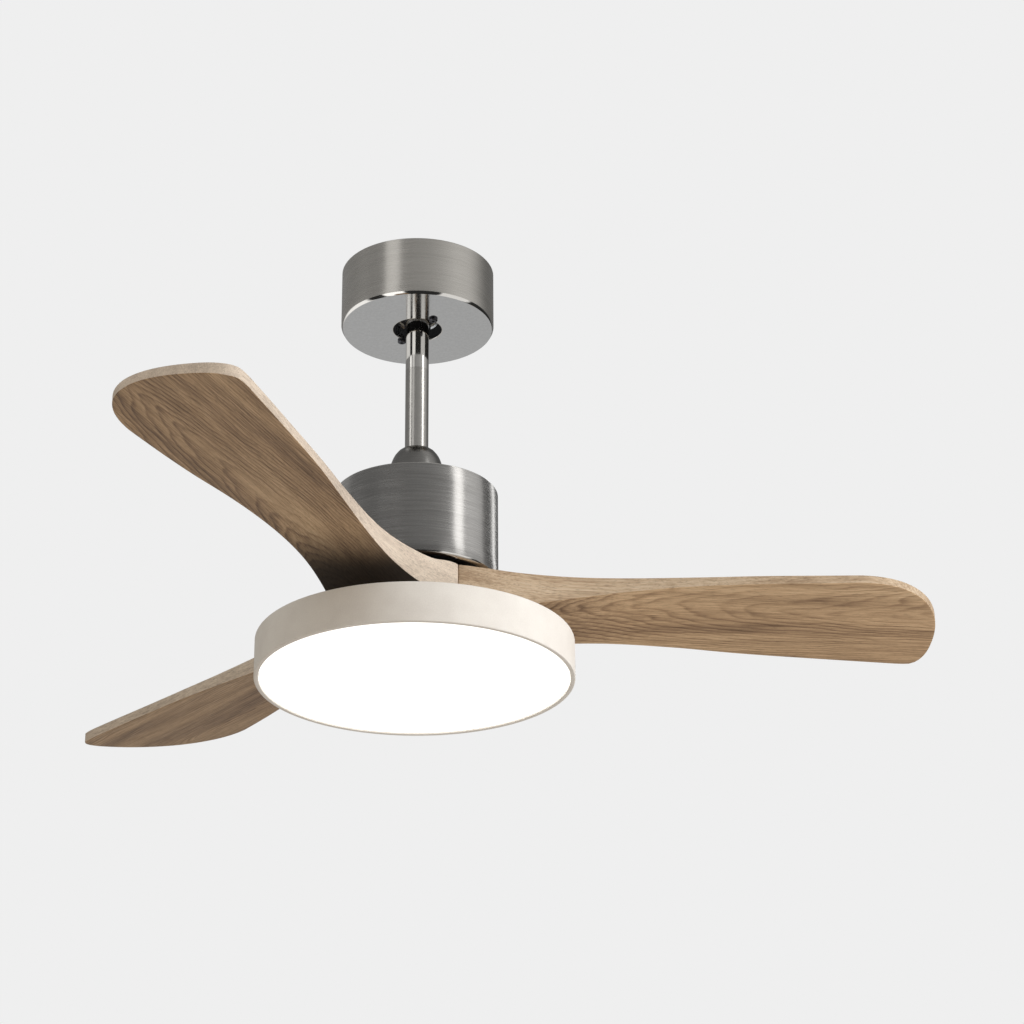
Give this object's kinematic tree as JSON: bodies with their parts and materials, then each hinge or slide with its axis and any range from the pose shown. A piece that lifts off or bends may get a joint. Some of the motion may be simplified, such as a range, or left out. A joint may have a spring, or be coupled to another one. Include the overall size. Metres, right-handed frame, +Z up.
{
  "type": "ceiling fan with light",
  "caption": "Ceiling fan on a short downrod with carved wooden blades under a brushed metal motor and a flat round opal light below.",
  "frame": {"origin": "centre of the hanger bracket's ceiling face, on the fan's turning axis", "axes": "+Z up along the downrod, so the fan hangs below z = 0; +X to the right of the front view and about along the first blade; -Y towards the viewer of the front"},
  "size_m": [0.8848, 0.9393, 0.449],
  "materials": {
    "bracket_steel": "bright zinc-plated steel",
    "brushed_nickel": "brushed nickel plating",
    "dark_nickel": "dark satin nickel plating",
    "black_zinc_steel": "black zinc-plated steel",
    "cast_zinc": "cast zinc, as cast",
    "cast_aluminium": "cast aluminium, satin",
    "walnut": "oiled walnut, open grain",
    "white_enamel": "warm white satin enamel",
    "opal": "opal acrylic, satin",
    "black_nylon": "moulded black nylon",
    "white_abs": "moulded white plastic",
    "copper": "lacquered copper wire",
    "ferrite": "sintered ferrite",
    "phosphor": "LED phosphor strip",
    "brass": "turned brass"
  },
  "bodies": {
    "ceiling_mount": {"hanger_bracket": "bracket_steel", "canopy": "brushed_nickel", "canopy_screw_1": "black_zinc_steel", "canopy_screw_2": "black_zinc_steel", "receiver_box": "white_abs", "terminal_block": "black_nylon"},
    "ball_seat": {"ball_seat": "white_abs"},
    "hanging": {"hanger_ball": "black_nylon", "downrod": "brushed_nickel", "ball_pin": "bracket_steel", "ball_set_screw": "bracket_steel", "coupling_cover": "dark_nickel", "motor_yoke": "cast_zinc", "clevis_pin": "bracket_steel", "clevis_clip": "bracket_steel", "yoke_set_screw_1": "bracket_steel", "yoke_set_screw_2": "bracket_steel", "motor_cover": "brushed_nickel", "motor_shaft": "bracket_steel", "stator_core": "bracket_steel", "winding_upper": "copper", "winding_lower": "copper", "light_bracket": "bracket_steel", "shaft_nut_upper": "bracket_steel", "shaft_nut_lower": "bracket_steel", "pan_screw_1": "black_zinc_steel", "pan_screw_2": "black_zinc_steel", "pan_screw_3": "black_zinc_steel", "lamp_pan": "white_enamel", "diffuser_lock_ring": "white_abs", "led_driver": "white_abs", "led_board": "cast_aluminium", "board_post_1": "brass", "board_post_2": "brass", "board_post_3": "brass", "led_strip_inner": "phosphor", "led_strip_outer": "phosphor"},
    "rotor": {"rotor_top_cap": "cast_aluminium", "rotor_bottom_cap": "cast_aluminium", "magnet_ring": "ferrite", "upper_bearing": "bracket_steel", "lower_bearing": "bracket_steel", "blade_flange": "bracket_steel", "blade_clamp_plate": "black_zinc_steel", "blade_screw_1": "black_zinc_steel", "blade_screw_2": "black_zinc_steel", "blade_screw_3": "black_zinc_steel", "blade_screw_4": "black_zinc_steel", "blade_screw_5": "black_zinc_steel", "blade_screw_6": "black_zinc_steel", "blade_1": "walnut", "blade_2": "walnut", "blade_3": "walnut"},
    "diffuser": {"diffuser": "opal"}
  },
  "joints": [
    {"name": "hanger_tilt_x", "type": "hinge", "parent": "ceiling_mount", "child": "ball_seat", "pos_m": [0, 0, -0.034], "axis": [1, 0, 0], "range_deg": [-10, 10]},
    {"name": "hanger_tilt_y", "type": "hinge", "parent": "ball_seat", "child": "hanging", "pos_m": [0, 0, -0.034], "axis": [0, 1, 0], "range_deg": [-10, 10]},
    {"name": "rotor_spin", "type": "hinge", "parent": "hanging", "child": "rotor", "pos_m": [0, 0, -0.3], "axis": [0, 0, 1], "continuous": true},
    {"name": "diffuser_twist", "type": "hinge", "parent": "hanging", "child": "diffuser", "pos_m": [0, 0, -0.44], "axis": [0, 0, 1], "range_deg": [0, 20]}
  ]
}
